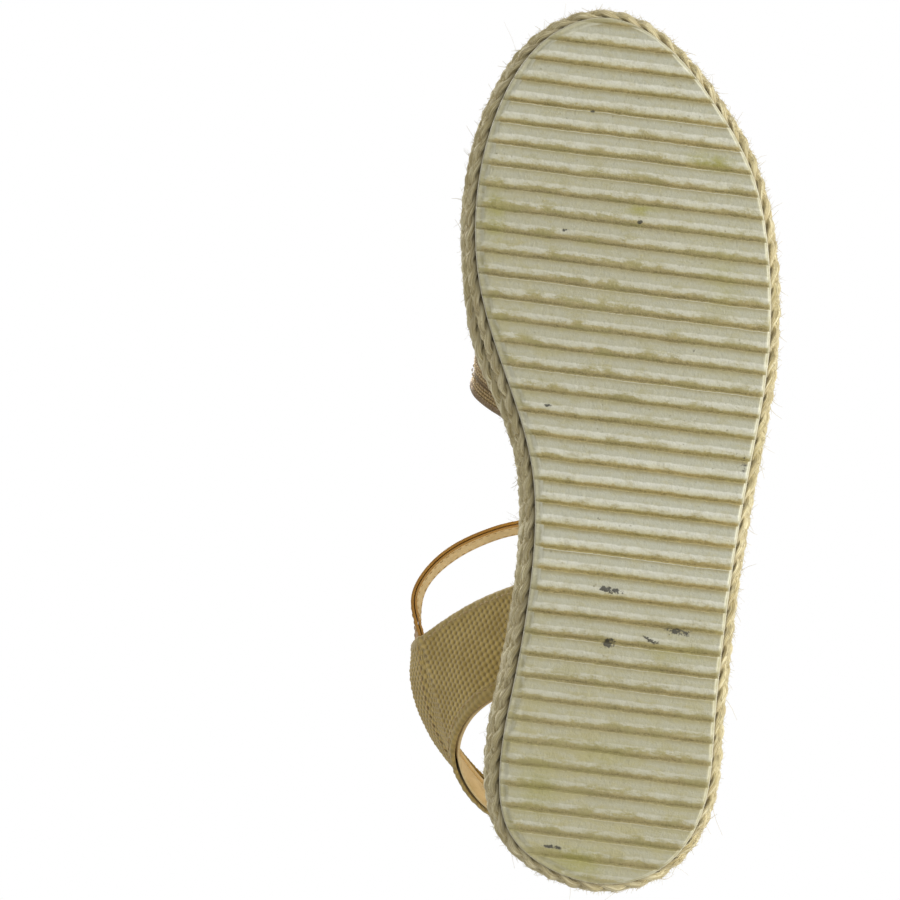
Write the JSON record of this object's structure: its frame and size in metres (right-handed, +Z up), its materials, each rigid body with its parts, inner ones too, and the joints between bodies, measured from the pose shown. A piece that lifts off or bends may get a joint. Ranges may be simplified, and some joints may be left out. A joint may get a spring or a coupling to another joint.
{
  "type": "wedge sandal",
  "caption": "Left wedge sandal with ribbed outsole, braided jute sides, open-toe metallic knit band, canvas heel sling and buckled leather ankle strap.",
  "frame": {"origin": "centre of the tread, on the face of a rib that stands on the ground", "axes": "+Z up, toe towards -Y, heel towards +Y, inner side of the foot towards -X"},
  "size_m": [0.1126, 0.2636, 0.1126],
  "materials": {
    "cream_rubber": "matte moulded, ribbed, with dirt in the valleys",
    "core_foam": "matte foam",
    "jute_braid": "coarse plaited jute with loose fibres",
    "fibre_board": "matte pressed fibre",
    "soft_foam": "matte open-cell foam",
    "footbed_cover": "smooth synthetic leather, stitched round its edge",
    "metallic_knit": "ribbed knit with rose-gold metallic thread",
    "vamp_backing": "plain woven cotton",
    "beige_lining": "smooth synthetic leather lining",
    "natural_canvas": "coarse basket-weave canvas",
    "tan_leather": "golden tan leather, semi-gloss",
    "antique_brass": "polished, slightly darkened brass"
  },
  "bodies": {
    "sandal": {"outsole": "cream_rubber", "wedge_core": "core_foam", "braid_row_1": "jute_braid", "braid_row_2": "jute_braid", "braid_row_3": "jute_braid", "braid_heel_row_1": "jute_braid", "braid_heel_row_2": "jute_braid", "insole_board": "fibre_board", "footbed_foam": "soft_foam", "sock_lining": "footbed_cover", "vamp_outer": "metallic_knit", "vamp_backer": "vamp_backing", "vamp_lining": "beige_lining", "sling_outer": "natural_canvas", "sling_lining": "beige_lining", "strap_back_outer": "tan_leather", "strap_back_lining": "beige_lining"},
    "ankle_strap": {"billet_outer": "tan_leather", "billet_lining": "beige_lining", "buckle_strap_outer": "tan_leather", "buckle_strap_lining": "beige_lining", "fixed_keeper": "tan_leather"},
    "buckle": {"buckle_frame": "antique_brass"},
    "prong": {"buckle_prong": "antique_brass"},
    "keeper": {"sliding_keeper": "tan_leather"}
  },
  "joints": [
    {"name": "ankle_strap_swing", "type": "hinge", "parent": "sandal", "child": "ankle_strap", "pos_m": [-0.02415, 0.0615, 0.0995], "axis": [-0.9999, 0.0156, 0], "range_deg": [-28, 28]},
    {"name": "buckle_swing", "type": "hinge", "parent": "ankle_strap", "child": "buckle", "pos_m": [-0.00076, 0.03152, 0.10409], "axis": [-0.191, 0.199, 0.9612], "range_deg": [0, 5]},
    {"name": "prong_swing", "type": "hinge", "parent": "buckle", "child": "prong", "pos_m": [-0.00076, 0.03152, 0.10409], "axis": [-0.191, 0.199, 0.9612], "range_deg": [0, 5]},
    {"name": "keeper_slide", "type": "slide", "parent": "ankle_strap", "child": "keeper", "axis": [0.1877, 0.9661, -0.1773], "range_m": [-0.003, 0.003]}
  ]
}
